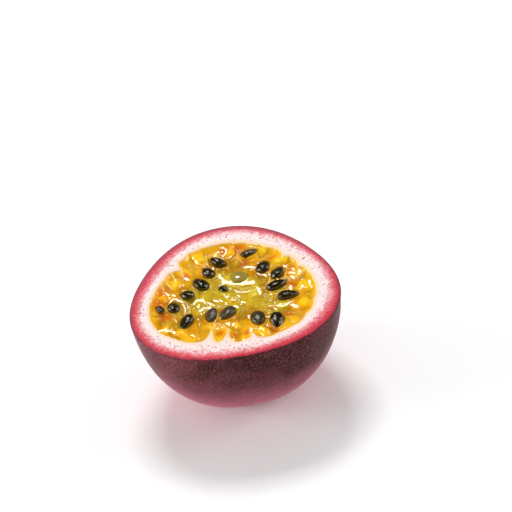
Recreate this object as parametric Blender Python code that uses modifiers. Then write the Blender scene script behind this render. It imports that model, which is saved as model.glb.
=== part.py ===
"""Half of a ripe passion fruit, cut across its middle: a thick cup of skin and pith, full of juicy pulp,
with the seeds that show at the cut. Metres, +Z up, standing on its flattened pole, the cut face on top.
"""

import math
import random

import bmesh
import bpy
import numpy as np
from mathutils import Matrix, Vector

MM = 0.001
PI = math.pi

# The fruit is egg-shaped, with three soft corners, one for each third of the fruit. An outline's waves
# are given as how many go round, how far they stand out in millimetres, and the bearing of a crest in
# degrees
FRUIT_RADIUS = 27.2 * MM
FRUIT_WAVES = ((3, 1.4, -27.0),)
HALF_DEPTH = 33.2 * MM  # from the cut face to the far pole
PAST_WAIST = 1.8 * MM  # the cut lies this far on from the widest section
FLAT_SPOT = 0.7 * MM  # trimmed off the pole, so that the half stands
HEIGHT = HALF_DEPTH - FLAT_SPOT

# The wall: skin and pith, with tongues of pith where the pulp is attached
WALL = 6.25 * MM
CAVITY_RADIUS = FRUIT_RADIUS - WALL
CAVITY_DEPTH = HALF_DEPTH - WALL
CAVITY_WAVES = ((1, 0.5, -115.0), (2, 0.5, -15.0), (3, 1.0, -30.0), (4, 0.35, 25.0))
SKIN_EDGE = 0.5 * MM  # rounding of the cut's outer edge
PITH_EDGE = 0.4 * MM  # rounding of the cut's inner edge
PITH_SWELL = 0.25 * MM  # the pith swells this far above the skin's edge
TONGUE_FADE = 7.0 * MM  # depth at which the tongues have all but gone
# Each tongue's bearing, its reach towards the middle and half width in millimetres, and how many degrees
# its tip leans round
TONGUES = (
    (-112.0, 5.5, 1.3, -4.5),
    (-99.0, 5.2, 0.9, -1.0),
    (-80.0, 4.0, 1.2, 2.0),
    (136.0, 2.2, 1.5, -2.0),
    (40.0, 1.5, 1.2, 0.0),
    (21.0, 1.2, 1.5, 0.0),
)

# The pulp: a sunk pool of juice with sacs swelling out of it
GAP = 0.3 * MM  # clearance to the wall
POOL_SINK = 1.9 * MM
MENISCUS_RISE = 1.3 * MM
MENISCUS_REACH = 1.2 * MM
HELD_REACH = 2 * MENISCUS_REACH  # the sacs are pressed down this near the wall
SAC_LENGTH = 8.6 * MM
SAC_WIDTH = 6.0 * MM
SAC_FLATNESS = 1.6  # a sac's top is broader the higher this is
SAC_OUTWARD = 0.8 * MM  # a sac's middle lies this far outside its seed's
SEED_SHOW = 0.5  # a sac's top is this many millimetres above its seed's middle
SAC_TURN = 20.0  # a sac's heading strays this many degrees from straight out
BLEND = 0.22 * MM  # how softly neighbouring sacs meet
WALL_SACS = 21
WALL_SAC_LENGTH = 5.6 * MM
WALL_SAC_WIDTH = 3.9 * MM
WALL_SAC_INSET = 2.9 * MM
WALL_SAC_TURN = 25.0
WALL_SAC_TOPS = (-0.9 * MM, -0.1 * MM)  # the lowest and highest top, measured from the cut
RANDOM_SEED = 7

# The seeds: flat egg shapes with one narrower end
SEED_LENGTH = 5.3 * MM
SEED_WIDTH = 3.8 * MM
SEED_THICKNESS = 2.5 * MM
SEED_POINT = 0.2  # how much narrower the pointed end is
SEED_SIDES = 10
SEED_RINGS = 7
# Each seed's bearing and distance from the fruit's axis, the heading of its point, its lean about its
# long axis, how far its point dips, its size against a full seed, and how far its middle is sunk below
# the cut: degrees and millimetres, with the turns to the nearest five degrees
SEEDS = (
    (71, 17.3, 15, -40, -5, 0.95, 1.4),
    (101, 14.6, 135, 45, -5, 1.0, 1.1),
    (118, 12.1, 110, 30, 10, 0.9, 1.0),
    (142, 10.2, 125, 25, 0, 1.0, 1.0),
    (167, 12.3, 125, 10, 20, 0.9, 1.0),
    (-175, 15.7, 85, 20, 10, 0.85, 1.1),
    (-175, 19.3, -70, -20, -10, 0.6, 0.9),
    (-147, 15.4, -120, 30, 5, 1.0, 0.9),
    (-132, 9.5, -100, 35, -5, 0.95, 1.1),
    (-106, 7.6, -125, 20, -5, 1.0, 0.9),
    (47, 12.9, 70, -15, 5, 0.95, 0.9),
    (26, 13.7, 65, -25, 5, 0.95, 0.9),
    (7, 11.6, 15, -35, -5, 1.05, 1.3),
    (-15, 14.5, 0, -30, 0, 1.05, 1.0),
    (-64, 12.6, -85, -5, -5, 1.0, 0.8),
    (-52, 16.7, -95, -25, 5, 1.0, 0.9),
    (128, 4.1, 125, -10, 15, 0.6, 1.3),
)

# How finely the solids are faceted
TURN_STEPS = 96
DOME_RINGS = 11
CAVITY_RINGS = 9
PULP_RINGS = 16
MERGE = 0.01 * MM
ROUND_TURNS = tuple(math.radians(turn) for turn in (30, 60, 90))  # facets of the cut's rounded edges
ACROSS_WALL = (0.3, 0.55, 0.78)  # shares of the wall at which the cut has rings
SHARP_ANGLE = math.radians(40.0)

RIND_COLOUR = (0.16, 0.045, 0.055, 1.0)
PULP_COLOUR = (0.80, 0.42, 0.03, 1.0)
SEED_COLOUR = (0.022, 0.016, 0.010, 1.0)


def clear_scene():
    for obj in list(bpy.data.objects):
        bpy.data.objects.remove(obj)


def egg_radius(depth, radius, far_depth):
    """Radius at this depth below the cut of an egg shape that is radius wide at the cut."""
    span = far_depth + PAST_WAIST
    share = np.clip((np.asarray(depth) + PAST_WAIST) / span, 0, 1)
    at_cut = math.sqrt(1 - (PAST_WAIST / span) ** 2)
    return radius * np.sqrt(1 - share**2) / at_cut


def ring_depths(far_depth, first_depth, last_depth, rings):
    """Depths of rings that are evenly spaced round an egg shape's curve."""
    span = far_depth + PAST_WAIST
    start, end = (math.asin((depth + PAST_WAIST) / span) for depth in (first_depth, last_depth))
    return [span * math.sin(start + (end - start) * i / rings) - PAST_WAIST for i in range(rings + 1)]


def egg_profile(radius, far_depth, depths):
    """Profile points (radius, height) down an egg shape."""
    return [(float(egg_radius(depth, radius, far_depth)), HEIGHT - depth) for depth in depths]


def swing(bearing, waves):
    """How far an outline with these waves stands out from round at each bearing."""
    return sum(rise * MM * np.cos(count * (bearing - math.radians(crest))) for count, rise, crest in waves)


def tongue_shape(bearing):
    """How far the pith's tongues reach inwards at the cut, and how far they lean round."""
    reach, lean = np.zeros_like(bearing), np.zeros_like(bearing)
    for at, length, half_width, turned_by in TONGUES:
        off = np.angle(np.exp(1j * (bearing - math.radians(at)))) * CAVITY_RADIUS / (half_width * MM)
        share = np.exp(-(off**2) / 2)
        reach = reach + length * MM * share
        lean = lean + math.radians(turned_by) * share
    return reach, lean


def warped(points):
    """Points of the round, turned fruit moved to where the real, three-cornered one has them."""
    points = np.asarray(points, float)
    bearing = np.arctan2(points[:, 1], points[:, 0])
    radius = np.hypot(points[:, 0], points[:, 1])
    depth = np.clip(HEIGHT - points[:, 2], 0, None)
    outer = egg_radius(depth, FRUIT_RADIUS, HALF_DEPTH)
    inner = egg_radius(depth, CAVITY_RADIUS, CAVITY_DEPTH)
    in_wall = np.clip((outer - radius) / np.maximum(outer - inner, MERGE), 0, 1)
    in_cavity = np.where(radius < inner, radius / np.maximum(inner, MERGE), 1)
    reach, lean = tongue_shape(bearing)
    fade = np.exp(-((depth / TONGUE_FADE) ** 2))
    outer_move = swing(bearing, FRUIT_WAVES) * outer / FRUIT_RADIUS
    inner_move = (swing(bearing, CAVITY_WAVES) - reach * fade) * inner / CAVITY_RADIUS
    moved = radius + ((1 - in_wall) * outer_move + in_wall * inner_move) * in_cavity
    turn = bearing + lean * fade * in_wall * in_cavity
    return np.stack([moved * np.cos(turn), moved * np.sin(turn), points[:, 2]], 1)


def turned(name, profile, diagonals):
    """A closed, triangulated mesh turned about Z from a profile of (radius, height)."""
    mesh = bpy.data.meshes.new(name + "_profile")
    edges = [(i, i + 1) for i in range(len(profile) - 1)]
    mesh.from_pydata([(radius, 0, height) for radius, height in profile], edges, [])
    guide = bpy.data.objects.new(name + "_profile", mesh)
    bpy.context.scene.collection.objects.link(guide)
    screw = guide.modifiers.new("Turn", "SCREW")
    screw.axis = "Z"
    screw.steps = screw.render_steps = TURN_STEPS
    screw.use_merge_vertices = True
    screw.merge_threshold = MERGE
    graph = bpy.context.evaluated_depsgraph_get()
    made = bpy.data.meshes.new_from_object(guide.evaluated_get(graph))
    made.name = name
    bpy.data.objects.remove(guide)
    facets = bmesh.new()
    facets.from_mesh(made)
    bmesh.ops.triangulate(facets, faces=facets.faces, quad_method=diagonals)
    facets.to_mesh(made)
    facets.free()
    return made


def coordinates(mesh):
    flat = np.empty(len(mesh.vertices) * 3)
    mesh.vertices.foreach_get("co", flat)
    return flat.reshape(-1, 3)


def set_coordinates(mesh, points):
    mesh.vertices.foreach_set("co", np.asarray(points, np.float32).ravel())
    mesh.update()


def plain_material(name, colour, roughness):
    material = bpy.data.materials.new(name)
    material.use_nodes = True
    shader = material.node_tree.nodes["Principled BSDF"]
    shader.inputs["Base Color"].default_value = colour
    shader.inputs["Roughness"].default_value = roughness
    shader.inputs["Metallic"].default_value = 0.0
    return material


def finished(name, mesh, material, collection):
    mesh.materials.clear()
    mesh.materials.append(material)
    mesh.shade_smooth()
    mesh.set_sharp_from_angle(angle=SHARP_ANGLE)
    obj = bpy.data.objects.new(name, mesh)
    collection.objects.link(obj)
    return obj


def rim_profile():
    """Across the cut, from the pith's inner edge to the skin's outer edge."""
    skin_top = HEIGHT - PITH_SWELL
    inner = [
        (CAVITY_RADIUS + PITH_EDGE * (1 - math.cos(turn)), HEIGHT - PITH_EDGE * (1 - math.sin(turn)))
        for turn in ROUND_TURNS
    ]
    across = [
        (CAVITY_RADIUS + WALL * share, HEIGHT - PITH_SWELL * max(0, 2 * share - 1) ** 2)
        for share in ACROSS_WALL
    ]
    outer = [
        (FRUIT_RADIUS - SKIN_EDGE * (1 - math.sin(turn)), skin_top - SKIN_EDGE * (1 - math.cos(turn)))
        for turn in (0, *ROUND_TURNS)
    ]
    return inner + across + outer


def cavity_depths():
    """The depths that the cavity's and the pulp's rings share, so that the gap between them holds."""
    return ring_depths(CAVITY_DEPTH, 2 * PITH_EDGE, CAVITY_DEPTH, CAVITY_RINGS)


def make_shell(collection):
    """The shell: dome, cut face and cavity wall as one closed surface, turned and then warped."""
    cavity = egg_profile(CAVITY_RADIUS, CAVITY_DEPTH, cavity_depths())[::-1]
    dome_depths = ring_depths(HALF_DEPTH, SKIN_EDGE + PITH_SWELL, HEIGHT, DOME_RINGS)
    dome = egg_profile(FRUIT_RADIUS, HALF_DEPTH, dome_depths)[1:]
    profile = cavity + rim_profile() + dome + [(0.0, 0.0)]
    mesh = turned("shell", profile, "ALTERNATE")
    set_coordinates(mesh, warped(coordinates(mesh)))
    return finished("shell", mesh, plain_material("purple_rind", RIND_COLOUR, 0.45), collection)


def sacs():
    """Each juice sac's middle, heading, half length, half width and top above the cut."""
    draw = random.Random(RANDOM_SEED)
    made = []
    for bearing, reach, _, _, _, size, sunk in SEEDS:
        turn = math.radians(bearing)
        reach = reach * MM + SAC_OUTWARD
        heading = turn + math.radians(draw.uniform(-SAC_TURN, SAC_TURN))
        half = (SAC_LENGTH * size / 2, SAC_WIDTH * size / 2)
        top = (SEED_SHOW - sunk) * MM
        made.append((reach * math.cos(turn), reach * math.sin(turn), heading, *half, top))
    for i in range(WALL_SACS):
        turn = 2 * PI * (i + draw.uniform(-0.25, 0.25)) / WALL_SACS
        edge = CAVITY_RADIUS + float(swing(turn, CAVITY_WAVES))
        reach = edge - WALL_SAC_INSET * draw.uniform(0.85, 1.2)
        heading = turn + math.radians(draw.uniform(-WALL_SAC_TURN, WALL_SAC_TURN))
        size = draw.uniform(0.85, 1.15)
        half = (WALL_SAC_LENGTH * size / 2, WALL_SAC_WIDTH * size / 2)
        top = draw.uniform(*WALL_SAC_TOPS)
        made.append((reach * math.cos(turn), reach * math.sin(turn), heading, *half, top))
    return made


def pulp_height(x, y, to_wall):
    """Height of the pulp's surface: a pool with a meniscus at the wall, and the sacs' domes."""
    held = np.clip(to_wall / HELD_REACH, 0, 1)
    pool = MENISCUS_RISE * np.exp(-to_wall / MENISCUS_REACH) - POOL_SINK
    total = np.exp(pool / BLEND)
    for middle_x, middle_y, heading, half_length, half_width, top in sacs():
        along = ((x - middle_x) * math.cos(heading) + (y - middle_y) * math.sin(heading)) / half_length
        across = ((y - middle_y) * math.cos(heading) - (x - middle_x) * math.sin(heading)) / half_width
        dome = np.exp(-((along**2 + across**2) ** SAC_FLATNESS) / 2)
        total = total + np.exp(((POOL_SINK + top) * dome * held - POOL_SINK) / BLEND)
    return HEIGHT + BLEND * np.log(total)


def make_pulp_core(collection):
    """The pulp without its seeds: the cavity's shape inset by the gap, under the uneven surface."""
    bowl = egg_profile(CAVITY_RADIUS - GAP, CAVITY_DEPTH - GAP, cavity_depths()[:-1])
    bowl.append((0.0, HEIGHT - CAVITY_DEPTH + GAP))
    rim_radius = CAVITY_RADIUS - GAP
    top = [(rim_radius * math.sin(PI / 2 * i / PULP_RINGS), HEIGHT) for i in range(PULP_RINGS + 1)]
    # The bowl's profile runs down where the cavity's runs up, so its diagonals are the other way too
    mesh = turned("pulp", top + bowl, "FIXED")
    points = coordinates(mesh)
    on_top = points[:, 2] > HEIGHT - MERGE
    bearing = np.arctan2(points[on_top, 1], points[on_top, 0])
    edge = rim_radius + swing(bearing, CAVITY_WAVES) - tongue_shape(bearing)[0]
    to_wall = edge * (1 - np.hypot(points[on_top, 0], points[on_top, 1]) / rim_radius)
    points = warped(points)
    points[on_top, 2] = pulp_height(points[on_top, 0], points[on_top, 1], to_wall)
    set_coordinates(mesh, points)
    return finished("pulp", mesh, plain_material("juicy_pulp", PULP_COLOUR, 0.12), collection)


def make_seed(index, row, material, collection):
    """One seed: a sphere drawn out into a flat egg with one end narrower, and laid in its sac."""
    bearing, reach, heading, lean, dip, size, sunk = row
    shape = bmesh.new()
    bmesh.ops.create_uvsphere(shape, u_segments=SEED_SIDES, v_segments=SEED_RINGS, radius=size / 2)
    for vert in shape.verts:
        along = vert.co.z
        taper = 1 - SEED_POINT * along * 2 / size
        vert.co = Vector(
            (along * SEED_LENGTH, vert.co.x * taper * SEED_WIDTH, vert.co.y * taper * SEED_THICKNESS)
        )
    bmesh.ops.recalc_face_normals(shape, faces=shape.faces)
    mesh = bpy.data.meshes.new(f"seed_{index}")
    shape.to_mesh(mesh)
    shape.free()
    seed = finished(f"seed_{index}", mesh, material, collection)
    turn = math.radians(bearing)
    place = Vector((reach * MM * math.cos(turn), reach * MM * math.sin(turn), HEIGHT - sunk * MM))
    seed.matrix_world = (
        Matrix.Translation(place)
        @ Matrix.Rotation(math.radians(heading), 4, "Z")
        @ Matrix.Rotation(math.radians(dip), 4, "Y")
        @ Matrix.Rotation(math.radians(lean), 4, "X")
    )
    return seed


def fuse(body, others):
    """Joins a collection's objects to the body with one Boolean union, and removes them."""
    union = body.modifiers.new("Fuse", "BOOLEAN")
    union.operation = "UNION"
    union.operand_type = "COLLECTION"
    union.collection = others
    union.solver = "EXACT"
    union.material_mode = "TRANSFER"
    graph = bpy.context.evaluated_depsgraph_get()
    fused = bpy.data.meshes.new_from_object(body.evaluated_get(graph))
    body.modifiers.clear()
    body.data = fused
    for obj in list(others.objects):
        bpy.data.objects.remove(obj)
    bpy.data.collections.remove(others)


def box_middle():
    """Middle of the fruit's outline box, measured from the fruit's axis."""
    bearing = np.linspace(0, 2 * PI, TURN_STEPS, endpoint=False)
    radius = FRUIT_RADIUS + swing(bearing, FRUIT_WAVES)
    across = np.stack([radius * np.cos(bearing), radius * np.sin(bearing)])
    return (across.max(axis=1) + across.min(axis=1)) / 2


def main():
    clear_scene()
    fruit = bpy.data.collections.new("passion_fruit_half")
    bpy.context.scene.collection.children.link(fruit)
    seeds = bpy.data.collections.new("seeds")
    bpy.context.scene.collection.children.link(seeds)

    shell = make_shell(fruit)
    pulp = make_pulp_core(fruit)
    seed_coat = plain_material("seed_coat", SEED_COLOUR, 0.25)
    for index, row in enumerate(SEEDS):
        make_seed(index, row, seed_coat, seeds)
    bpy.context.view_layer.update()
    fuse(pulp, seeds)

    axis = bpy.data.objects.new("fruit_axis", None)
    fruit.objects.link(axis)
    middle_x, middle_y = box_middle()
    axis.location = (-middle_x, -middle_y, 0)
    for obj in (shell, pulp):
        obj.parent = axis
    bpy.context.view_layer.update()


main()
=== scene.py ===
"""Looks of a cut passion fruit half: skin and pith, wet pulp, seeds, flecks and juice beads.

Laid out as an add-on with one operator for each piece, and run as a script. Metres, +Z up.
"""

import math
import random

import bmesh
import bpy
import numpy as np
from bpy.props import FloatProperty, FloatVectorProperty, IntProperty, PointerProperty
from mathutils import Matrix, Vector, kdtree, noise


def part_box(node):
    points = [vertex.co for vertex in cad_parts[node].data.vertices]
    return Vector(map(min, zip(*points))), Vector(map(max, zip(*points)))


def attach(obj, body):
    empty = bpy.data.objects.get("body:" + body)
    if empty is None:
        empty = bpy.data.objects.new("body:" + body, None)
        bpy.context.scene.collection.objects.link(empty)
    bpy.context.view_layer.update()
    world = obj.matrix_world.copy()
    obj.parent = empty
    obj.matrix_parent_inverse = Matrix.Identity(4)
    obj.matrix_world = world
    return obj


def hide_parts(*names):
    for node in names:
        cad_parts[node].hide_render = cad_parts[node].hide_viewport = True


bl_info = {
    "name": "Passion Fruit Half",
    "version": (1, 0, 0),
    "blender": (4, 5, 0),
    "location": "3D View > Sidebar > Passion Fruit",
    "description": "Builds a cut passion fruit half around its solid model",
    "category": "Add Mesh",
}

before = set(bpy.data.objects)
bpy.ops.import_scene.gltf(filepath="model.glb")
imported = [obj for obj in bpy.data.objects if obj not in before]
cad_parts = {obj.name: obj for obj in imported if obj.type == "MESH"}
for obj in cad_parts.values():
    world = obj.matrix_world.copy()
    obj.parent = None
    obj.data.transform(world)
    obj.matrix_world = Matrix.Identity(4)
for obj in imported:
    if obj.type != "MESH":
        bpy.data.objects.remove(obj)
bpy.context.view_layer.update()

MM = 0.001
PI = math.pi

# The fruit: an egg shape with three soft corners, standing on its pole with the cut on top. An outline's
# waves are given as how many go round, how far they stand out in millimetres, and a crest's bearing
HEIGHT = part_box("shell")[1].z
FRUIT_RADIUS = 27.2 * MM
FLAT_SPOT = 0.7 * MM
HALF_DEPTH = HEIGHT + FLAT_SPOT
PAST_WAIST = 1.8 * MM
FRUIT_WAVES = ((3, 1.4, -27.0),)

# The wall of skin and pith, and the tongues of pith that hold the pulp
WALL = 6.25 * MM
CAVITY_RADIUS = FRUIT_RADIUS - WALL
CAVITY_DEPTH = HALF_DEPTH - WALL
CAVITY_WAVES = ((1, 0.5, -115.0), (2, 0.5, -15.0), (3, 1.0, -30.0), (4, 0.35, 25.0))
SKIN_EDGE = 0.5 * MM
PITH_EDGE = 0.4 * MM
PITH_SWELL = 0.25 * MM
TONGUE_FADE = 7.0 * MM
TONGUE_ROOT = 0.45  # share of the wall at which a tongue begins
TONGUE_DROOP = 0.13  # how far a tongue sinks for each metre that it reaches inwards
# Each tongue's bearing, its reach towards the middle and half width in millimetres, and how many degrees
# its tip leans round
TONGUES = (
    (-112.0, 5.7, 1.3, -4.5),
    (-99.0, 5.4, 0.9, -1.0),
    (-80.0, 4.2, 1.2, 2.0),
    (136.0, 2.2, 1.5, -2.0),
    (40.0, 1.5, 1.2, 0.0),
    (21.0, 1.2, 1.5, 0.0),
)
# Lumps of a surface: their size, their height and a shift of the pattern, the first two in millimetres
RAGGED_EDGE = ((2.4, 0.34, 3.7), (0.9, 0.16, 3.7))
SKIN_RELIEF = ((9.0, 0.14, 0.0), (1.6, 0.03, 8.1))
CUT_RELIEF = ((2.6, 0.07, 5.3), (0.7, 0.05, 1.9))
POOL_RELIEF = ((6.5, 0.32, 4.4), (2.2, 0.06, 2.2))
CUT_SINK = 0.09 * MM  # how far the pith's cut face lies below the outline of the cut
# Where the wall's red band is broader: bearing, how far it spreads round in degrees, and by how much of
# the wall
RED_BULGES = ((150.0, 55.0, 0.21), (-48.0, 30.0, 0.14))
DULL_SIDE = 110.0  # bearing at which the red band is dullest
PAINTED_LIT_SIDE = 205.0  # bearing at which painted light makes the skin palest
# Rows of flecks in the cut pith: share of the wall, how far the row spreads, and how dense it is
FLECK_ROWS = ((0.5, 0.05, 1.0), (0.66, 0.06, 0.8))
# Colours of the cut wall, by the share of the wall from the skin to the pulp
WALL_BANDS = (
    (0.02, "crimson"), (0.08, "crimson"), (0.21, "rose"), (0.35, "pink"), (0.48, "pith"), (0.74, "pith"),
    (0.92, "peach"), (1.0, "membrane"),
)

# The seeds: bearing and distance from the axis, heading of the point, lean about the length, dip of the
# point, size, depth of the middle below the cut, and how much of a dull film lies over it: degrees and
# millimetres, with the turns to the nearest five degrees
SEEDS = (
    (71, 17.3, 15, -40, -5, 0.95, 1.4, 0.2),
    (101, 14.6, 135, 45, -5, 1.0, 1.1, 0.0),
    (118, 12.1, 110, 30, 10, 0.9, 1.0, 0.0),
    (142, 10.2, 125, 25, 0, 1.0, 1.0, 0.0),
    (167, 12.3, 125, 10, 20, 0.9, 1.0, 0.1),
    (-175, 15.7, 85, 20, 10, 0.85, 1.1, 0.1),
    (-175, 19.3, -70, -20, -10, 0.6, 0.9, 0.2),
    (-147, 15.4, -120, 30, 5, 1.0, 0.9, 0.0),
    (-132, 9.5, -100, 35, -5, 0.95, 1.1, 0.6),
    (-106, 7.6, -125, 20, -5, 1.0, 0.9, 0.5),
    (47, 12.9, 70, -15, 5, 0.95, 0.9, 0.0),
    (26, 13.7, 65, -25, 5, 0.95, 0.9, 0.0),
    (7, 11.6, 15, -35, -5, 1.05, 1.3, 0.0),
    (-15, 14.5, 0, -30, 0, 1.05, 1.0, 0.0),
    (-64, 12.6, -85, -5, -5, 1.0, 0.8, 0.35),
    (-52, 16.7, -95, -25, 5, 1.0, 0.9, 0.0),
    (128, 4.1, 125, -10, 15, 0.6, 1.3, 0.0),
)
SEED_POINT = 0.2  # share by which a seed narrows from its middle to its point

# Lumps of pulp that stand out: bearing, distance, heading, half length, half width, depth of the top
# below the cut, and how yellow
YELLOW_LUMPS = (
    (112.6, 17.4, 100, 2.7, 2.4, 0.2, 0.9),
    (60.2, 18.6, 60, 1.9, 1.5, 0.2, 1.0),
    (38.2, 17.2, 20, 2.4, 1.5, 0.3, 1.0),
    (-1.0, 18.3, 75, 2.6, 1.9, 0.3, 1.0),
    (-22.0, 18.9, 60, 2.2, 1.5, 0.4, 0.8),
    (152.0, 16.2, 60, 2.4, 1.8, 0.3, 0.7),
    (172.0, 18.4, 80, 2.0, 1.6, 0.3, 0.4),
    (-140.0, 18.9, -40, 3.0, 1.4, 0.4, 0.6),
    (-68.0, 17.3, -60, 2.0, 1.4, 0.3, 0.8),
    (-90.0, 12.3, -60, 1.7, 1.1, 0.5, 0.5),
    (88.0, 18.2, 80, 2.0, 1.2, 0.7, 0.5),
    (-4.0, 6.2, 20, 2.6, 1.5, 0.9, 0.4),
)

# Deep orange pockets in the pulp: bearing, distance and radius
POCKETS = (
    (-108.0, 15.3, 1.3), (-94.0, 15.7, 1.4), (-82.0, 15.9, 1.4), (-60.0, 18.4, 1.2), (163.0, 19.3, 2.0),
    (178.0, 19.8, 2.4), (-150.0, 13.4, 1.3), (92.0, 19.4, 1.8), (70.0, 13.2, 1.2), (48.0, 17.0, 1.5),
    (24.0, 17.4, 1.6), (3.0, 15.6, 1.2), (-38.0, 17.0, 1.2), (140.0, 15.6, 1.4), (80.0, 19.4, 2.2),
    (-166.0, 18.6, 1.6),
)

# Clearer, greener juice: bearing, distance and radius
CLEAR_PATCHES = (
    (-168.0, 17.6, 2.6), (-30.0, 14.2, 2.4), (164.0, 9.4, 3.2), (-163.0, 9.4, 3.2), (-150.0, 17.4, 2.0),
    (112.0, 8.0, 2.4), (-161.0, 19.4, 2.4),
)

# Folds of paler membrane: three (x, y) points in millimetres, half width, height above the pulp
STRANDS = (
    ((20.6, 5.6), (15.3, 3.0), (9.6, 2.6), 0.55, 0.9),
    ((12.0, 2.4), (8.4, 1.0), (4.6, 0.6), 0.35, 0.6),
    ((20.8, 7.2), (17.6, 6.4), (14.6, 6.8), 0.30, 0.6),
    ((-15.4, 14.2), (-14.9, 11.0), (-14.4, 8.2), 0.26, 0.7),
    ((-13.6, 15.6), (-12.6, 12.4), (-12.4, 9.4), 0.24, 0.7),
    ((-17.6, 11.6), (-16.8, 8.8), (-15.8, 6.2), 0.24, 0.6),
    ((-18.8, 9.0), (-18.0, 6.4), (-17.4, 4.2), 0.22, 0.5),
    ((-4.3, -6.9), (-5.1, -8.7), (-6.0, -10.6), 0.16, 0.75),
    ((-6.4, -1.9), (-9.6, -0.4), (-12.2, -2.2), 0.3, 0.4),
    ((3.9, 18.6), (2.3, 15.8), (3.4, 13.2), 0.22, 0.45),
    ((-12.6, -4.0), (-11.8, -1.4), (-13.9, 1.2), 0.22, 0.5),
    ((-1.6, 5.6), (2.0, 2.6), (6.4, 3.4), 0.3, 0.35),
    ((-6.2, -13.0), (-5.0, -10.9), (-3.1, -13.0), 0.3, 0.6),
    ((-6.8, -16.2), (-6.8, -14.4), (-6.5, -12.4), 0.5, 1.0),
    ((-2.7, -17.0), (-2.5, -15.4), (-2.5, -13.8), 0.45, 0.9),
    ((3.1, -17.8), (3.2, -16.2), (3.0, -14.8), 0.4, 0.8),
)

# Wet facets of the gel that lie square between the light and the camera, and shine white. The long ones
# follow a curve: three (x, y) points in millimetres and the half width
LONG_GLINTS = (
    ((-2.1, 6.1), (1.4, 4.7), (5.6, 4.3), 0.60),
    ((-2.9, 9.2), (-2.7, 8.3), (-2.0, 7.4), 0.45),
    ((3.9, 10.8), (5.3, 10.6), (6.6, 10.2), 0.42),
    ((7.4, 7.3), (8.2, 7.0), (9.0, 6.3), 0.40),
    ((-8.6, 16.4), (-8.3, 15.2), (-6.6, 14.4), 0.26),
    ((-1.6, 20.4), (-0.2, 19.2), (-2.0, 17.2), 0.36),
    ((-16.9, -0.3), (-15.6, 1.9), (-13.2, 0.4), 0.30),
    ((-13.3, -0.2), (-12.7, -2.0), (-13.3, -3.9), 0.24),
    ((-10.4, -0.6), (-8.8, 0.3), (-7.0, -1.4), 0.38),
    ((-9.6, -3.6), (-7.8, -2.7), (-6.0, -3.6), 0.32),
    ((-20.0, -10.2), (-18.6, -10.0), (-15.8, -11.4), 0.36),
    ((6.5, 1.1), (6.7, 0.2), (6.9, -0.8), 0.40),
    ((0.4, 2.4), (2.4, 1.4), (4.8, 1.4), 0.26),
    ((11.8, -6.4), (13.4, -6.9), (15.0, -7.2), 0.20),
)
# The small ones lie in patches: middle (x, y), radius, how many, heading, half length and half width, in
# degrees and millimetres
SMALL_GLINTS = (
    (-2.5, -2.8, 4.8, 26, -40, 0.6, 0.30),
    (-12.0, -5.0, 4.0, 12, -60, 0.5, 0.24),
    (-15.0, 7.5, 5.0, 9, -60, 0.6, 0.30),
    (-4.0, 15.5, 6.0, 6, 45, 0.6, 0.30),
    (13.5, 9.0, 6.5, 9, -60, 0.6, 0.32),
    (11.0, -8.0, 5.5, 7, -40, 0.6, 0.26),
    (2.0, -14.5, 5.5, 7, 50, 0.5, 0.30),
    (-12.0, -12.5, 5.0, 5, -20, 0.5, 0.28),
    (17.0, 1.0, 4.5, 7, -75, 0.6, 0.32),
)
# Where the key light stands, as its direction round from the camera and its height, in degrees
KEY_LIGHT = (185.0, 70.0)

# The camera: how high it stands and how far it rolls, the picture's width in pixels, the sensor's width
# and the lens in millimetres, and the pixel that a point of the cut falls on
CAMERA_HEIGHT = math.radians(38.0)
CAMERA_ROLL = math.radians(-9.0)
PICTURE = 512
SENSOR = 36.0
LENS = 150.0
PIXELS_PER_MM = 3.87
AIM_PIXEL = (236.0, 292.0)
AIM_FROM_AXIS = (0.84 * MM, -0.49 * MM)

# The unripe seed, as a row like those of the other seeds, its sizes, and the broad sac of gel round it
PALE_SEED = (72.0, 7.3, -4.0, 0.0, 0.0, 1.0, 1.4, 0.0)
PALE_SEED_SIZES = {
    "Length": 5.2 * MM, "Width": 4.3 * MM, "Thickness": 2.4 * MM, "Point": 0.18, "Pit Size": 2 * MM,
    "Pit Depth": 0.02 * MM,
}
PALE_SAC = (2.0 * MM, 7.0 * MM, 0.0, 5.3 * MM, 3.0 * MM, -0.85 * MM)

# Smaller sacs, in two rows along the wall and as folds anywhere in the middle: how many, how far in from
# the wall or 0, length, width, and the lowest and highest top, in millimetres from the cut
SAC_ROWS = (
    (16, 2.6, 6.8, 4.6, -1.0, -0.4),
    (13, 5.6, 7.2, 4.2, -1.4, -0.8),
    (12, 0.0, 7.8, 3.2, -1.7, -1.1),
)

# Where beads of juice gather: middle (x, y) and radius in millimetres, and how densely they lie
BEAD_PATCHES = ((-2.5, -2.8, 4.2, 1.0), (9.5, -6.0, 3.5, 0.8), (-15.0, -6.0, 2.5, 0.7))

# The pulp runs into the wall, out of sight, at the cut and further down
PULP_INTO_WALL = 0.9 * MM
PULP_OVERLAP = 0.3 * MM
POLE_OVERLAP = 0.2 * MM
PULP_SIDE_DEPTH = 2.5 * MM  # depth of the first ring of its side
EDGE_SINK = 0.35 * MM  # depth below the cut that it keeps next to the wall
MENISCUS_REACH = 0.9 * MM  # how far from the wall the juice starts to climb
GEL_BEND = 0.42 * MM  # how far the pulp's forms are bent out of true ovals
GLINT_BEND = 0.15 * MM
GLINT_LIFT = 0.03 * MM  # how far a wet facet stands over the surface that it is laid into
CREASE = 0.2 * MM  # how soft the creases between sacs are
RIDGE = 0.30 * MM  # height of the gel round a seed
WALL_ZONE = 4.5 * MM  # how far from the wall the yellow of the sacs and the outward wrinkles fade
WARM_ZONE = 7.0 * MM  # how far from the wall the warm colours reach
HOLLOW_DEPTH = 1.1 * MM  # depth below the cut from which hollows are darkened, with painted shade and the deeper juice's colour
FULL_RELIEF = 0.22 * MM  # height of a form over or under its surroundings at which the painted light on crests and the painted shade in valleys are full
EVENING_PASSES = 40
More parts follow.
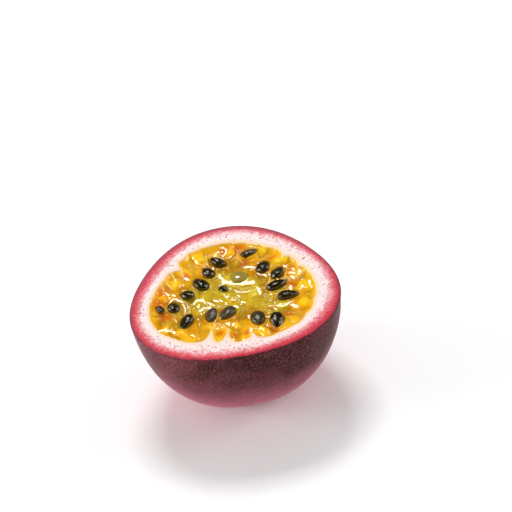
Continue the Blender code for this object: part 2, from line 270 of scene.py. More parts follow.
# Colours of the pulp from the middle outwards, and those laid over them: mask, strength and colour
PULP_TONES = ((0.06, "olive"), (0.26, "amber"), (0.50, "orange"), (0.72, "straw"), (1.0, "straw"))
# Some layers paint light and shade: raised forms are lightened, and valleys, hollows and the juice round the
# seeds are darkened
PULP_LAYERS = (
    ("yellow", 0.8, "yellow"), ("crest", 0.4, "yellow"), ("valley_shade", 0.35, "amber"),
    ("pocket", 0.85, "deep_orange"), ("hollow_shade", 0.3, "deep_juice_shade"), ("seed_halo_shade", 0.6, "deep_juice_shade"),
    ("strand", 0.6, "membrane"), ("contact", 0.6, "straw"),
)

# Rings of the shell and of the pulp's underside, and points that the pith's inner edge is measured at
CAVITY_RINGS = 26
CUT_RINGS = 40
DOME_RINGS = 76
PULP_RINGS = 7
EDGE_POINTS = 1440
CURVE_POINTS = 40  # on each fold and each long facet

FIBRE_PACE = 0.28  # how fast the fibres' pattern changes along them, against across

# Seeds of the random draws
PULP_DRAW = 5
GLINT_DRAW = 11

# Linear colours that don't change with the rest
DARK_SPECKLE = (0.020, 0.005, 0.006)
PALE_THREAD = (1.0, 0.90, 0.89)
FLOOR_SHADE = (0.95, 0.95, 0.95)

# The studio: its even light, and the soft lights' direction round from the camera and height in degrees,
# distance, width and height in metres, power in watts, and whether the wet parts mirror them
EVEN_LIGHT = 0.42
LIGHTS = {
    "overhead": (*KEY_LIGHT, 0.55, 0.19, 0.14, 1.5, True),
    "left_bank": (-90, 10, 0.7, 0.30, 0.36, 4.0, True),
    "right_bank": (94, 16, 0.7, 0.30, 0.50, 2.2, True),
    "front_fill": (-10, 40, 0.9, 0.5, 0.4, 0.8, False),
}


def srgb(red, green, blue):
    """A linear colour from one given on a screen's scale of 0 to 255."""
    shares = (value / 255 for value in (red, green, blue))
    return tuple(s / 12.92 if s <= 0.04045 else ((s + 0.055) / 1.055) ** 2.4 for s in shares)


def length(name, description, size):
    return FloatProperty(name=name, description=description, default=size, min=0, max=50 * MM, unit="LENGTH")


def colour(name, description, red, green, blue):
    return FloatVectorProperty(
        name=name, description=description, default=srgb(red, green, blue), min=0, max=1, subtype="COLOR"
    )


class FruitSizes(bpy.types.PropertyGroup):
    """Sizes of the finer pieces"""

    seed_length: length("Seed length", "From the seed's point to its round end", 5.3 * MM)
    seed_width: length("Seed width", "Across the seed as it lies", 3.8 * MM)
    seed_thickness: length("Seed thickness", "Through the flat of the seed", 2.5 * MM)
    pit_size: length("Pit size", "Width of the pits in a seed's coat", 0.55 * MM)
    pit_depth: length("Pit depth", "Depth of the pits in a seed's coat", 0.09 * MM)
    pool_sink: length("Pool sink", "Depth of the juice below the cut", 1.9 * MM)
    meniscus: length("Meniscus", "How far the juice climbs the wall", 1.6 * MM)
    fleck_length: length("Fleck length", "Length of the dark flecks in the pith", 0.75 * MM)
    bead_size: length("Bead size", "Width of the largest juice beads", 0.62 * MM)
    turn_steps: IntProperty(name="Turn steps", description="Facets round the shell", default=560, min=24)
    pulp_cells: IntProperty(name="Pulp cells", description="Cells across the pulp", default=264, min=40)


class FruitColours(bpy.types.PropertyGroup):
    """Colours of every finish"""

    skin: colour("Skin", "Dark purple-red skin", 58, 9, 10)
    # Painted bounce light: the paler, pinker skin laid towards the far pole
    skin_bounce_lit: colour("Skin, redder", "Where the skin is paler, towards the far pole", 200, 108, 128)
    speckle: colour("Speckle", "Fine pale speckles of the skin", 172, 102, 104)
    skin_line: colour("Skin line", "The skin's edge at the cut", 100, 24, 44)
    crimson: colour("Crimson", "The wall just under the skin", 204, 44, 62)
    dusk: colour("Dusk", "The red band where it is dull", 154, 80, 92)
    rose: colour("Rose", "The red outer part of the wall", 216, 90, 102)
    pink: colour("Pink", "Where red turns to white", 230, 154, 158)
    pith: colour("Pith", "The white pith", 239, 226, 223)
    peach: colour("Peach", "The pith next to the pulp", 241, 208, 176)
    fleck: colour("Fleck", "Dark flecks in the pith", 192, 124, 142)
    olive: colour("Olive", "The clear juice in the middle", 216, 186, 36)
    amber: colour("Amber", "The deeper pulp between the seeds", 196, 138, 4)
    orange: colour("Orange", "The pulp outside the seeds", 240, 160, 4)
    straw: colour("Straw", "The pulp next to the pith", 250, 188, 26)
    yellow: colour("Yellow", "Ripe lumps of pulp", 255, 210, 2)
    deep_orange: colour("Deep orange", "Pockets beside the pith", 222, 104, 2)
    # Painted shade, with the deeper juice's own colour: laid in the hollows and round the seeds
    deep_juice_shade: colour("Murk", "The deepest juice, and the juice round the seeds", 140, 98, 4)
    membrane: colour("Membrane", "Pale folds in the pulp", 252, 222, 140)
    seed: colour("Seed coat", "Black seeds", 32, 26, 8)
    seed_film: colour("Seed film", "Seeds under a film of pulp", 84, 68, 34)
    pale_seed: colour("Unripe seed", "The pale seed under the juice", 136, 124, 58)
    floor: colour("Floor", "The pale floor", 253, 253, 253)


def add_node(tree, kind, inputs=None, **settings):
    """Adds a node. An input given as a socket is linked, and any other value is set."""
    made = tree.nodes.new(kind)
    for key, value in settings.items():
        setattr(made, key, value)
    for socket, value in (inputs or {}).items():
        if isinstance(value, bpy.types.NodeSocket):
            tree.links.new(value, made.inputs[socket])
        else:
            made.inputs[socket].default_value = value
    return made


def output_of(tree, kind, inputs=None, socket=0, **settings):
    """Adds a node and gives one of its outputs, the first unless another is asked for."""
    return add_node(tree, kind, inputs, **settings).outputs[socket]


def maths(tree, operation, first, second):
    """One step of arithmetic on sockets or numbers."""
    return output_of(tree, "ShaderNodeMath", {0: first, 1: second}, operation=operation)


def times(tree, first, second):
    return maths(tree, "MULTIPLY", first, second)


def vector_maths(tree, operation, first, second=(0, 0, 0)):
    return output_of(tree, "ShaderNodeVectorMath", {0: first, 1: second}, operation=operation)


def scaled(tree, vector, size):
    return output_of(tree, "ShaderNodeVectorMath", {0: vector, "Scale": size}, operation="SCALE")


def height_of(tree, place):
    return output_of(tree, "ShaderNodeSeparateXYZ", {0: place}, "Z")


def blended(tree, share, first, second):
    """The second colour over the first by a share from 0 to 1."""
    sockets = {0: share}
    for socket, tone in ((6, first), (7, second)):
        sockets[socket] = tone if isinstance(tone, bpy.types.NodeSocket) else (*tone, 1)
    return output_of(tree, "ShaderNodeMix", sockets, 2, data_type="RGBA")


def laid_over(tree, shade, mask, strength, tone):
    """The tone over the shade where the mask is, up to a strength."""
    return blended(tree, times(tree, mask, strength), shade, tone)


def shifted(tree, value, mask, amount):
    """The value moved by up to half the amount either way, as the mask goes from 0 to 1."""
    return maths(tree, "ADD", value, times(tree, maths(tree, "SUBTRACT", mask, 0.5), amount))


def ramp(tree, value, stops):
    """Colours by position, as (position, colour) pairs."""
    made = add_node(tree, "ShaderNodeValToRGB", {0: value})
    elements = made.color_ramp.elements
    while len(elements) < len(stops):
        elements.new(0.5)
    for element, (position, shade) in zip(elements, stops):
        element.position = position
        element.color = (*shade, 1)
    return made.outputs["Color"]


def spread(tree, value, low, high, start=0.0, end=1.0):
    """Maps low to high onto start to end, smoothly and without going past them."""
    ends = {"Value": value, "From Min": low, "From Max": high, "To Min": start, "To Max": end}
    return output_of(tree, "ShaderNodeMapRange", ends, interpolation_type="SMOOTHSTEP")


def mask_of(tree, name):
    return output_of(
        tree, "ShaderNodeAttribute", socket="Fac", attribute_name=name, attribute_type="GEOMETRY"
    )


def new_group(name, kind, inputs, output, output_kind):
    """An empty node group with named inputs and one output, and the sockets of its inputs."""
    tree = bpy.data.node_groups.new(name, kind)
    for label, socket_kind, default in inputs:
        socket = tree.interface.new_socket(label, in_out="INPUT", socket_type="NodeSocket" + socket_kind)
        if default is not None:
            socket.default_value = default
    tree.interface.new_socket(output, in_out="OUTPUT", socket_type="NodeSocket" + output_kind)
    return tree, add_node(tree, "NodeGroupInput").outputs


def ended(tree, value):
    """The group, with this value as its output."""
    add_node(tree, "NodeGroupOutput", {0: value})
    return tree


def group_of(name, build):
    return bpy.data.node_groups.get(name) or build()


def noise_of(tree, given, roughness):
    """Noise with lumps of the group's Size at its Place."""
    sockets = {
        "Vector": given["Place"], "Scale": maths(tree, "DIVIDE", 1.0, given["Size"]),
        "Detail": given["Detail"], "Roughness": roughness,
    }
    return output_of(tree, "ShaderNodeTexNoise", sockets)


def blotch_group():
    """Soft blotches of one size: a mask that rises where the noise lies between Low and High."""
    inputs = (
        ("Place", "Vector", None), ("Size", "Float", 1 * MM), ("Detail", "Float", 2.0),
        ("Low", "Float", 0.4), ("High", "Float", 0.6),
    )
    tree, given = new_group("blotches", "ShaderNodeTree", inputs, "Mask", "Float")
    return ended(tree, spread(tree, noise_of(tree, given, 0.6), given["Low"], given["High"]))


def relief_group():
    """Fine relief of one size and depth, as a normal."""
    inputs = (
        ("Place", "Vector", None), ("Size", "Float", 0.5 * MM), ("Detail", "Float", 3.0),
        ("Depth", "Float", 0.03 * MM),
    )
    tree, given = new_group("fine_relief", "ShaderNodeTree", inputs, "Normal", "Vector")
    sockets = {"Height": noise_of(tree, given, 0.55), "Strength": 1.0, "Distance": given["Depth"]}
    return ended(tree, output_of(tree, "ShaderNodeBump", sockets))


def blotches(tree, place, size, low, high, detail=2.0):
    sockets = {"Place": place, "Size": size, "Low": low, "High": high, "Detail": detail}
    return output_of(tree, "ShaderNodeGroup", sockets, node_tree=group_of("blotches", blotch_group))


def fine_relief(tree, place, size, depth, detail=3.0):
    sockets = {"Place": place, "Size": size, "Depth": depth, "Detail": detail}
    return output_of(tree, "ShaderNodeGroup", sockets, node_tree=group_of("fine_relief", relief_group))


def new_finish(name, **values):
    """A material with its shader's own values set, and its tree, shader and object coordinates."""
    material = bpy.data.materials.new(name)
    material.use_nodes = True
    tree = material.node_tree
    shader = tree.nodes["Principled BSDF"]
    for label, value in values.items():
        shader.inputs[label.replace("_", " ")].default_value = value
    place = add_node(tree, "ShaderNodeTexCoord").outputs["Object"]
    return material, tree, shader, place


def feed(tree, shader, shade, **others):
    """Links the shade to the shader's colour, and other values to the inputs of their names."""
    for label, value in {"Base Color": shade, **others}.items():
        tree.links.new(value, shader.inputs[label])


def egg_radius(depth, radius, far_depth):
    """Radius at this depth below the cut of an egg shape that is radius wide at the cut."""
    span = far_depth + PAST_WAIST
    share = np.clip((np.asarray(depth) + PAST_WAIST) / span, 0, 1)
    return radius * np.sqrt(1 - share**2) / math.sqrt(1 - (PAST_WAIST / span) ** 2)


def egg_profile(radius, far_depth, first_depth, last_depth, rings):
    """Profile points (radius, height) down an egg shape, evenly spaced round its curve."""
    span = far_depth + PAST_WAIST
    start, end = (math.asin((depth + PAST_WAIST) / span) for depth in (first_depth, last_depth))
    turns = [start + (end - start) * i / rings for i in range(rings + 1)]
    depths = [span * math.sin(turn) - PAST_WAIST for turn in turns]
    return [(float(egg_radius(depth, radius, far_depth)), HEIGHT - depth) for depth in depths]


def swing(bearing, waves):
    """How far an outline with these waves stands out from round at each bearing."""
    return sum(rise * MM * np.cos(count * (bearing - math.radians(crest))) for count, rise, crest in waves)


def cloud(points, size, shift=0.0):
    """Noise from about -1 to 1 at each point, with lumps about this size."""
    return np.array([noise.noise(Vector(place)) for place in np.asarray(points) / size + shift])


def on_ring(bearing, radius):
    """Points at height 0 at these bearings and distances from the Z axis."""
    return np.stack([np.cos(bearing) * radius, np.sin(bearing) * radius, np.zeros_like(bearing)], -1)


def round_axis(points):
    """Each point's bearing round the Z axis, and its distance from it."""
    return np.arctan2(points[:, 1], points[:, 0]), np.hypot(points[:, 0], points[:, 1])


def lumps(points, rows, start=0.0):
    """The start and the lumps of these rows, added up at each point."""
    return sum((rise * MM * cloud(points, size * MM, shift) for size, rise, shift in rows), start)


def turn_from(bearing, degrees):
    """How far each bearing lies round from one given in degrees, the shorter way."""
    return np.angle(np.exp(1j * (bearing - math.radians(degrees))))


def tongue_shape(bearing):
    """How far the pith's tongues reach inwards at the cut, and how far they lean round, at each bearing."""
    reach, lean = np.zeros_like(bearing), np.zeros_like(bearing)
    for at, far, half_width, turned_by in TONGUES:
        off = turn_from(bearing, at) * CAVITY_RADIUS / (half_width * MM)
        share = np.exp(1.2 * (0.1 - np.sqrt(off**2 + 0.01)))
        reach = reach + far * MM * share
        lean = lean + math.radians(turned_by) * share
    return reach, lean


def ragged_edge(bearing, reach):
    """The pith's uneven inner edge at the cut: how far it stands inwards of its even outline."""
    ring = on_ring(bearing, CAVITY_RADIUS)
    return lumps(ring, RAGGED_EDGE) * (1 + 2.5 * np.clip(reach / (2.5 * MM), 0, 1))


def fruit_axis():
    """Place of the fruit's axis, with the origin in the middle of its outline's box."""
    bearing = np.linspace(0, 2 * PI, 96, endpoint=False)
    across = on_ring(bearing, FRUIT_RADIUS + swing(bearing, FRUIT_WAVES))[:, :2]
    return -(across.max(axis=0) + across.min(axis=0)) / 2


AXIS = fruit_axis()


def coordinates(mesh):
    flat = np.empty(len(mesh.vertices) * 3, np.float32)
    mesh.vertices.foreach_get("co", flat)
    return flat.reshape(-1, 3).astype(float)


def set_coordinates(mesh, points):
    mesh.vertices.foreach_set("co", np.asarray(points, np.float32).ravel())
    mesh.update()


def set_mask(mesh, name, values):
    """Keeps a named value on each of the mesh's points, for the finishes and the scattered pieces."""
    attribute = mesh.attributes.new(name, "FLOAT", "POINT")
    attribute.data.foreach_set("value", np.asarray(values, np.float32))


def linked(name, data):
    """A new object in the scene."""
    obj = bpy.data.objects.new(name, data)
    bpy.context.scene.collection.objects.link(obj)
    return obj


def evaluated(guide, name):
    """A plain mesh of the guide with its modifiers applied. The guide is removed."""
    graph = bpy.context.evaluated_depsgraph_get()
    mesh = bpy.data.meshes.new_from_object(
        guide.evaluated_get(graph), preserve_all_data_layers=True, depsgraph=graph
    )
    mesh.name = name
    bpy.data.objects.remove(guide)
    return mesh


def turned(name, profile, steps):
    """A closed mesh turned about Z from a profile of (radius, height) that ends on the axis."""
    line = bpy.data.meshes.new(name + "_profile")
    edges = [(i, i + 1) for i in range(len(profile) - 1)]
    line.from_pydata([(radius, 0, height) for radius, height in profile], edges, [])
    guide = linked(name + "_profile", line)
    screw = guide.modifiers.new("Turn", "SCREW")
    screw.axis = "Z"
    screw.steps = screw.render_steps = steps
    screw.use_merge_vertices = True
    screw.merge_threshold = 0.005 * MM
    return evaluated(guide, name)


def finished(name, mesh, replaced=()):
    """The piece's object, smooth, on the part's one body, with its place in its mesh."""
    mesh.shade_smooth()
    obj = linked(name, mesh)
    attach(obj, "root")
    if replaced:
        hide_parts(*replaced)
    return obj


def skin_finish(colours):
    """Dark skin with fine speckles and a faint bloom, with painted light below and on one side."""
    material, tree, shader, place = new_finish(
        "fruit_skin", Roughness=0.45, Sheen_Weight=0.34, Sheen_Roughness=0.16,
        Sheen_Tint=(1.0, 0.68, 0.86, 1.0), Specular_IOR_Level=0.12,
    )
    height = height_of(tree, place)
    # Painted light: the skin is made paler towards the far pole for the floor's bounce light, and on one side
    # for side light on the flank
    below = maths(tree, "SUBTRACT", 1.0, spread(tree, height, 0.14 * HEIGHT, 0.74 * HEIGHT))
    below = shifted(tree, below, blotches(tree, place, 7 * MM, 0.3, 0.7, detail=3.0), 0.16)
    below = maths(tree, "ADD", below, times(tree, mask_of(tree, "painted_lit_side"), 0.14))
    shade = blended(tree, below, colours.skin, colours.skin_bounce_lit)
    speckles = blotches(tree, place, 0.36 * MM, 0.5, 0.68, detail=1.0)
    shade = laid_over(tree, shade, speckles, 0.44, colours.speckle)
    dark = blotches(tree, place, 0.42 * MM, 0.54, 0.68, detail=1.0)
    shade = laid_over(tree, shade, dark, 0.5, DARK_SPECKLE)
    feed(tree, shader, shade, Normal=fine_relief(tree, place, 0.7 * MM, 0.04 * MM))
    return material


def ray_place(tree, place):
    """Coordinates drawn out along lines from the fruit's axis, so that a pattern on them makes fibres."""
    level = vector_maths(tree, "MULTIPLY", vector_maths(tree, "SUBTRACT", place, (*AXIS, 0)), (1, 1, 0))
    radius = output_of(tree, "ShaderNodeVectorMath", {0: level}, "Value", operation="LENGTH")
    ring = vector_maths(tree, "MULTIPLY", vector_maths(tree, "NORMALIZE", level), (FRUIT_RADIUS,) * 3)
    parts = add_node(tree, "ShaderNodeSeparateXYZ", {0: ring}).outputs
    along = maths(tree, "ADD", times(tree, radius, FIBRE_PACE), height_of(tree, place))
    return output_of(tree, "ShaderNodeCombineXYZ", {"X": parts["X"], "Y": parts["Y"], "Z": along})


def pith_finish(colours):
    """The wall at the cut: red under the skin, white within, peach at the pulp, with fibres and mottle."""
    material, tree, shader, place = new_finish(
        "cut_pith", Roughness=0.6, Specular_IOR_Level=0.25, Subsurface_Weight=0.12,
        Subsurface_Scale=0.8 * MM, Subsurface_Radius=(1.0, 0.45, 0.35),
    )
    wall, dull = mask_of(tree, "wall"), mask_of(tree, "dull")
    rays = ray_place(tree, place)
    moved = maths(tree, "SUBTRACT", 0.0, mask_of(tree, "redness"))
    moved = shifted(tree, moved, blotches(tree, rays, 0.3 * MM, 0.2, 0.8, detail=3.0), 0.16)
    moved = shifted(tree, moved, blotches(tree, place, 0.45 * MM, 0.25, 0.75, detail=3.0), 0.10)
    moved = shifted(tree, moved, blotches(tree, place, 1.3 * MM, 0.25, 0.75), 0.13)
    moved = shifted(tree, moved, blotches(tree, place, 5 * MM, 0.3, 0.7), 0.08)
    away_from_pulp = spread(tree, wall, 0.55, 0.85, 1.0, 0.2)
    share = maths(tree, "ADD", wall, times(tree, moved, away_from_pulp))
    inner = ramp(tree, share, [(at, getattr(colours, tone)) for at, tone in WALL_BANDS])
    rim = maths(tree, "SUBTRACT", wall, times(tree, dull, 0.04))
    rim = shifted(tree, rim, blotches(tree, place, 1.2 * MM, 0.3, 0.7), 0.06)
    edge = ramp(tree, rim, ((0.02, (1, 1, 1)), (0.06, (0.4, 0.4, 0.4)), (0.10, (0, 0, 0))))
    shade = blended(tree, edge, inner, colours.skin_line)
    mottle = times(tree, blotches(tree, place, 0.6 * MM, 0.44, 0.66), spread(tree, wall, 0.08, 0.45))
    shade = laid_over(tree, shade, times(tree, mottle, away_from_pulp), 0.5, colours.pink)
    dusky = times(tree, dull, spread(tree, wall, 0.0, 0.42, 0.95, 0.0))
    shade = blended(tree, dusky, shade, colours.dusk)
    shade = laid_over(tree, shade, mask_of(tree, "tongue"), 0.45, colours.peach)
    threads = times(tree, blotches(tree, rays, 0.25 * MM, 0.5, 0.8), spread(tree, wall, 0.1, 0.5))
    shade = laid_over(tree, shade, threads, 0.22, PALE_THREAD)
    feed(tree, shader, shade, Normal=fine_relief(tree, place, 0.45 * MM, 0.05 * MM))
    return material


def shell_profile():
    """From the cavity's bottom up its wall, across the cut and down the outside to the flat spot."""
    cavity = egg_profile(CAVITY_RADIUS, CAVITY_DEPTH, PITH_EDGE, CAVITY_DEPTH, CAVITY_RINGS)[::-1]
    inner = [
        (CAVITY_RADIUS + PITH_EDGE * (1 - math.cos(t)), HEIGHT - PITH_EDGE * (1 - math.sin(t)))
        for t in [math.radians(turn) for turn in range(18, 91, 18)]
    ]
    first, last = CAVITY_RADIUS + PITH_EDGE, FRUIT_RADIUS - SKIN_EDGE
    across = []
    for i in range(1, CUT_RINGS):
        radius = first + (last - first) * i / CUT_RINGS
        share = (radius - CAVITY_RADIUS) / WALL
        across.append((radius, HEIGHT - PITH_SWELL * max(0.0, 2 * share - 1) ** 2))
    skin_top = HEIGHT - PITH_SWELL
    outer = [
        (FRUIT_RADIUS - SKIN_EDGE * (1 - math.sin(t)), skin_top - SKIN_EDGE * (1 - math.cos(t)))
        for t in [math.radians(turn) for turn in range(0, 91, 15)]
    ]
    dome = egg_profile(FRUIT_RADIUS, HALF_DEPTH, SKIN_EDGE + PITH_SWELL, HEIGHT, DOME_RINGS)[1:]
    return cavity + inner + across + outer + dome + [(0.0, 0.0)]


def warped(points):
    """The round, turned shell's points moved to its real outline, each one's share of the wall from the
    skin inwards, and how far a tongue reaches there.
    """
    bearing, radius = round_axis(points)
    depth = np.clip(HEIGHT - points[:, 2], 0, None)
    outer = egg_radius(depth, FRUIT_RADIUS, HALF_DEPTH)
    inner = egg_radius(depth, CAVITY_RADIUS, CAVITY_DEPTH)
    wall = np.clip((outer - radius) / np.maximum(outer - inner, 0.01 * MM), 0, 1)
    in_cavity = np.where(radius < inner, radius / np.maximum(inner, 0.01 * MM), 1)
    fade = np.exp(-((depth / TONGUE_FADE) ** 2))
    reach, lean = tongue_shape(bearing)
    # The tongues bend only the inner part of the wall, so that its outer bands stay even
    bend = np.clip((wall - TONGUE_ROOT) / (1 - TONGUE_ROOT), 0, 1)
    outer_move = swing(bearing, FRUIT_WAVES) * outer / FRUIT_RADIUS
    inner_move = swing(bearing, CAVITY_WAVES) * inner / CAVITY_RADIUS
    inward = (reach + ragged_edge(bearing, reach)) * fade * inner / CAVITY_RADIUS
    moved = radius + ((1 - wall) * outer_move + wall * inner_move - bend * inward) * in_cavity
    turn = bearing + lean * fade * bend * in_cavity
    height = points[:, 2] - TONGUE_DROOP * reach * bend**2 * fade
    return np.stack([moved * np.cos(turn), moved * np.sin(turn), height], 1), wall, bend * reach


def paint_skin(mesh, on_skin):
    """Gives the first finish to faces whose points all lie on the skin, and the second to the others."""
    corners = np.empty(len(mesh.loops), np.int32)
    mesh.loops.foreach_get("vertex_index", corners)
    starts = np.empty(len(mesh.polygons), np.int32)
    mesh.polygons.foreach_get("loop_start", starts)
    all_skin = np.minimum.reduceat(on_skin[corners].astype(np.int32), starts)
    mesh.polygons.foreach_set("material_index", (1 - all_skin).astype(np.int32))


def make_shell(sizes, colours):
    """The skin and pith as one cup, with the masks that their finishes and the flecks read."""
    mesh = turned("shell_peel", shell_profile(), sizes.turn_steps)
    round_points = coordinates(mesh)
    points, wall, tongue = warped(round_points)
    bearing, radius = round_axis(points)
    depth = HEIGHT - round_points[:, 2]
    outside = (wall < 0.01) & (depth > SKIN_EDGE)
    on_cut = (depth < SKIN_EDGE + PITH_SWELL) & ~outside
    hold = np.clip((depth - SKIN_EDGE) / (2 * MM), 0, 1) * np.clip(points[:, 2] / (2 * MM), 0, 1)
    radius = radius + np.where(outside, lumps(points, SKIN_RELIEF) * hold, 0)
    inside_edge = np.clip(wall / 0.06, 0, 1)
    height = points[:, 2] + np.where(on_cut, (lumps(points, CUT_RELIEF) - CUT_SINK) * inside_edge, 0)
    placed = np.stack([radius * np.cos(bearing) + AXIS[0], radius * np.sin(bearing) + AXIS[1], height], 1)
    set_coordinates(mesh, placed)
    set_mask(mesh, "wall", np.where(depth < 3 * SKIN_EDGE, wall, np.maximum(wall, 0.9)))
    set_mask(mesh, "tongue", np.clip(tongue / (4 * MM), 0, 1))
    bulges = (
        rise * np.exp(-(np.degrees(turn_from(bearing, at)) / wide) ** 2) for at, wide, rise in RED_BULGES
    )
    set_mask(mesh, "redness", 0.02 + sum(bulges))
    set_mask(mesh, "dull", 0.5 + 0.5 * np.cos(turn_from(bearing, DULL_SIDE)))
    # Painted side light on the skin, strongest at that bearing
    set_mask(mesh, "painted_lit_side", np.clip(np.cos(turn_from(bearing, PAINTED_LIT_SIDE)), 0, 1) ** 2)
    rows = sum(dense * np.exp(-(((wall - at) / wide) ** 2)) for at, wide, dense in FLECK_ROWS)
    room = np.where(on_cut & (wall < 0.92), rows + 0.12 * (wall > 0.3), 0)
    set_mask(mesh, "fleck_room", np.clip(room, 0, 1))
    mesh.materials.clear()
    mesh.materials.append(skin_finish(colours))
    mesh.materials.append(pith_finish(colours))
    paint_skin(mesh, outside | ((wall < 0.5) & (depth > SKIN_EDGE + PITH_SWELL - 0.01 * MM)))
    return finished("shell_peel", mesh, ["shell"])


def wall_distance(points):
    """How far each point of the pulp lies from the pith, or 0 under it, and how far a tongue reaches at
    the nearest place of the pith's edge.
    """
    bearing = np.linspace(-PI, PI, EDGE_POINTS, endpoint=False)
    reach, lean = tongue_shape(bearing)
    radius = CAVITY_RADIUS + swing(bearing, CAVITY_WAVES) - reach - ragged_edge(bearing, reach)
    ring = on_ring(bearing + lean, radius)
    along = np.roll(ring, -1, axis=0) - np.roll(ring, 1, axis=0)
    inwards = np.stack([-along[:, 1], along[:, 0]], 1)
    tree = kdtree.KDTree(EDGE_POINTS)
    for index, place in enumerate(ring):
        tree.insert(Vector(place), index)
    tree.balance()
    found = [tree.find((x, y, 0)) for x, y in points[:, :2]]
    nearest = np.array([index for _, index, _ in found])
    gap = np.array([distance for _, _, distance in found])
    side = ((points[:, :2] - ring[nearest, :2]) * inwards[nearest]).sum(axis=1)
    return np.where(side > 0, gap, 0), reach[nearest]


def oval(points, middle_x, middle_y, heading, half_length, half_width):
    """Distance from an oval's middle, 1 at its edge."""
    x, y = points[:, 0] - middle_x, points[:, 1] - middle_y
    along = (x * math.cos(heading) + y * math.sin(heading)) / half_length
    across = (y * math.cos(heading) - x * math.sin(heading)) / half_width
    return np.sqrt(along**2 + across**2)


def polar(bearing, distance):
    """The (x, y) place in metres from a bearing in degrees and a distance in millimetres."""
    turn = math.radians(bearing)
    return distance * MM * math.cos(turn), distance * MM * math.sin(turn)


def random_sacs(draw):
    """Smaller sacs: two rows along the wall and folds over the middle."""
    made = []
    for count, inset, longest, widest, low, high in SAC_ROWS:
        for i in range(count):
            turn = 2 * PI * (i + draw.uniform(-0.3, 0.3)) / count
            edge = CAVITY_RADIUS + float(swing(turn, CAVITY_WAVES))
            reach = edge - inset * MM * draw.uniform(0.8, 1.2) if inset else draw.uniform(2, 13) * MM
            heading = turn + math.radians(draw.uniform(-35, 35)) if inset else draw.uniform(0, PI)
            size = draw.uniform(0.7, 1.2)
            halves = (longest * MM * size / 2, widest * MM * size * draw.uniform(0.8, 1.1) / 2)
            top = draw.uniform(low, high) * MM
            made.append((reach * math.cos(turn), reach * math.sin(turn), heading, *halves, top))
    return made


def seed_sacs(draw, sizes):
    """The sac that each seed lies in, a little outwards of the seed."""
    made = []
    for bearing, reach, _, _, _, size, sunk, _ in SEEDS:
        x, y = polar(bearing, reach + 0.6)
        heading = math.radians(bearing + draw.uniform(-25, 25))
        halves = (0.82 * sizes.seed_length * size, 0.80 * sizes.seed_width * size)
        made.append((x, y, heading, *halves, (0.15 - sunk) * MM))
    return made


def evened(values, passes):
    """Values on a square grid, each evened out with its four neighbours this many times."""
    side = math.isqrt(len(values))
    grid = np.asarray(values).reshape(side, side)
    for _ in range(passes):
        wide = np.pad(grid, 1, mode="edge")
        grid = (grid + wide[:-2, 1:-1] + wide[2:, 1:-1] + wide[1:-1, :-2] + wide[1:-1, 2:]) / 5
    return grid.ravel()


def curve_through(start, middle, end):
    """Points of a curve that leaves start, passes through middle and ends at end."""
    t = np.linspace(0, 1, CURVE_POINTS)[:, None]
    start, middle, end = (np.array(place) * MM for place in (start, middle, end))
    bend = 2 * middle - (start + end) / 2
    return (1 - t) ** 2 * start + 2 * t * (1 - t) * bend + t**2 * end


def strand_lift(points):
    """The folds of membrane: their height over the pulp and a mask of where they are."""
    lift = np.zeros(len(points))
    mask = np.zeros(len(points))
    for start, middle, end, half_width, rise in STRANDS:
        path = curve_through(start, middle, end)
        gap = np.min(np.linalg.norm(points[:, None, :2] - path[None], axis=2), axis=1)
        share = np.exp(-((gap / (half_width * MM)) ** 2))
        lift = np.maximum(lift, rise * MM * share)
        mask = np.maximum(mask, share * min(1.0, rise / 0.6))
    return lift, mask


def patches(points, places):
    """A mask of soft round patches, given as bearing, distance and radius."""
    mask = np.zeros(len(points))
    for bearing, reach, wide in places:
        x, y = polar(bearing, reach)
        gap = np.hypot(points[:, 0] - x, points[:, 1] - y)
        mask = np.maximum(mask, np.exp(-((gap / (wide * MM)) ** 3)))
    return mask


def highest(layers, softness):
    """The highest of several surfaces, with soft creases where they meet."""
    top = np.maximum.reduce(layers)
    return top + softness * np.log(sum(np.exp((layer - top) / softness) for layer in layers))


def direction(azimuth, elevation):
    """The way towards a place so far round from the camera and so high, in degrees."""
    turn, rise = math.radians(azimuth), math.radians(elevation)
    return Vector((math.sin(turn) * math.cos(rise), -math.cos(turn) * math.cos(rise), math.sin(rise)))


def laid_facet(height, flat, out, x, y):
    """The surface with a wet facet where out is under 1, sloping so that it mirrors the key light."""
    facing = direction(*KEY_LIGHT) + Vector((0, -math.cos(CAMERA_HEIGHT), math.sin(CAMERA_HEIGHT)))
    inside = out < 1
    if not inside.any():
        return height
    plane = height[inside].mean() + GLINT_LIFT
    plane = plane - ((flat[:, 0] - x) * facing.x + (flat[:, 1] - y) * facing.y) / facing.z
    share = np.clip((1.5 - out) / 0.5, 0, 1)
    return height + (plane - height) * share * share * (3 - 2 * share)


def add_glints(height, flat, bent):
    """Lays the wet facets into the surface: the long ones, and small ones drawn in their patches."""
    draw = random.Random(GLINT_DRAW)
    for start, middle, end, half_width in LONG_GLINTS:
        path = curve_through(start, middle, end)
        gap = np.min(np.linalg.norm(bent[:, None, :2] - path[None], axis=2), axis=1)
        height = laid_facet(height, flat, gap / (half_width * MM), *path.mean(axis=0))
    for x, y, radius, count, heading, half_length, half_width in SMALL_GLINTS:
        for _ in range(count):
            turn, reach = draw.uniform(0, 2 * PI), radius * math.sqrt(draw.uniform(0, 1))
            size = draw.uniform(0.75, 1.4) * MM
            at = ((x + reach * math.cos(turn)) * MM, (y + reach * math.sin(turn)) * MM)
            tilt = math.radians(heading + draw.uniform(-30, 30))
            out = oval(bent, *at, tilt, half_length * size, half_width * size)
            height = laid_facet(height, flat, out, *at)
    return height


